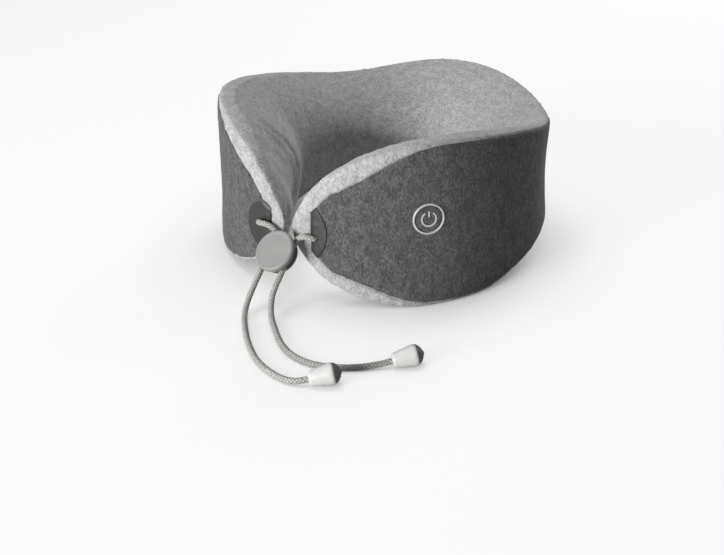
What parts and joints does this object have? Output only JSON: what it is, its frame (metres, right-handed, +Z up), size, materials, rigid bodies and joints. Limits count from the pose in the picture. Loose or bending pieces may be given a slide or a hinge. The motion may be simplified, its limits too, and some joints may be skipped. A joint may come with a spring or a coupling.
{
  "type": "shiatsu neck massager",
  "caption": "U-shaped padded neck collar with two geared turning massage heads in its back, a round power button on one arm and a sprung cord lock with two draw cords at the front.",
  "frame": {"origin": "on the surface that the collar stands on, under the middle of the collar without its cords", "axes": "+Z up, +Y towards the back of the neck, +X towards the arm with the button"},
  "size_m": [0.2911, 0.376, 0.1329],
  "materials": {
    "dark_felt": "heathered knitted felt, dark",
    "light_felt": "heathered knitted felt, light",
    "foam": "moulded slow-recovery foam",
    "patch_leatherette": "smooth coated cloth",
    "dark_plastic": "matte moulded",
    "cord_braid": "braided polyester",
    "cap_grey": "satin moulded",
    "disc_grey": "satin moulded",
    "steel": "plated",
    "bezel_grey": "satin moulded",
    "silicone": "translucent silicone",
    "grey_plastic": "moulded",
    "board": "solder mask",
    "motor_steel": "plated can",
    "brass": "turned",
    "gear_plastic": "acetal",
    "knob_rubber": "soft moulded",
    "mesh_cloth": "warp-knitted mesh",
    "cell_wrap": "shrink wrap",
    "lead_rubber": "cable jacket"
  },
  "bodies": {
    "collar": {"outer_panel": "dark_felt", "inner_panel": "light_felt", "foam_core": "foam", "left_patch": "patch_leatherette", "right_patch": "patch_leatherette", "left_cord_stop": "dark_plastic", "right_cord_stop": "dark_plastic", "left_cord": "cord_braid", "right_cord": "cord_braid", "left_cord_cap": "cap_grey", "right_cord_cap": "cap_grey", "left_cap_plug": "dark_plastic", "right_cap_plug": "dark_plastic", "button_ring": "bezel_grey", "button_dome": "silicone", "button_housing": "grey_plastic", "switch_board": "board", "tact_switch": "dark_plastic", "gearbox_rear": "grey_plastic", "gearbox_front": "grey_plastic", "casing_screws": "steel", "drive_motor": "motor_steel", "motor_screws": "steel", "shaft_bushes": "brass", "left_head_liner": "mesh_cloth", "right_head_liner": "mesh_cloth", "control_box": "grey_plastic", "control_lid": "grey_plastic", "lid_screws": "steel", "main_board": "board", "battery": "cell_wrap", "charge_socket": "dark_plastic", "button_lead": "lead_rubber", "motor_lead": "lead_rubber", "charge_lead": "lead_rubber"},
    "key": {"button_key": "dark_plastic", "button_cover": "dark_felt", "power_icon": "bezel_grey"},
    "lock": {"lock_body": "dark_plastic", "lock_spring": "steel"},
    "lock_button": {"lock_plunger": "dark_plastic", "lock_disc": "disc_grey"},
    "right_head": {"right_worm_wheel": "gear_plastic", "right_output_shaft": "steel", "right_head": "grey_plastic", "right_head_knobs": "knob_rubber", "right_head_screw": "steel"},
    "left_head": {"left_worm_wheel": "gear_plastic", "left_output_shaft": "steel", "left_head": "grey_plastic", "left_head_knobs": "knob_rubber", "left_head_screw": "steel"},
    "rotor": {"motor_shaft": "steel", "worm": "brass"}
  },
  "joints": [
    {"name": "power_button_press", "type": "slide", "parent": "collar", "child": "key", "axis": [-0.7761, 0.6306, 0.0062], "range_m": [0, 0.0008], "stiffness_N_per_m": 1500, "deforming": ["button_dome"]},
    {"name": "lock_slide", "type": "slide", "parent": "collar", "child": "lock", "axis": [0, -0.6691, -0.7431], "range_m": [0, 0.012]},
    {"name": "lock_press", "type": "slide", "parent": "lock", "child": "lock_button", "axis": [0, 0.7431, -0.6691], "range_m": [0, 0.0015], "stiffness_N_per_m": 1500, "springref_m": -0.0005, "deforming": ["lock_spring"]},
    {"name": "motor_spin", "type": "hinge", "parent": "collar", "child": "rotor", "pos_m": [0, 0.10969, 0.066], "axis": [0, 0, 1], "continuous": true},
    {"name": "right_head_spin", "type": "hinge", "parent": "collar", "child": "right_head", "pos_m": [0.02568, 0.10135, 0.066], "axis": [-0.309, -0.9511, 0], "continuous": true},
    {"name": "left_head_spin", "type": "hinge", "parent": "collar", "child": "left_head", "pos_m": [-0.02568, 0.10135, 0.066], "axis": [0.309, -0.9511, 0], "continuous": true}
  ],
  "couplings": [
    {"joint": "right_head_spin", "follows": "motor_spin", "ratio": 0.022727},
    {"joint": "left_head_spin", "follows": "motor_spin", "ratio": -0.022727}
  ]
}
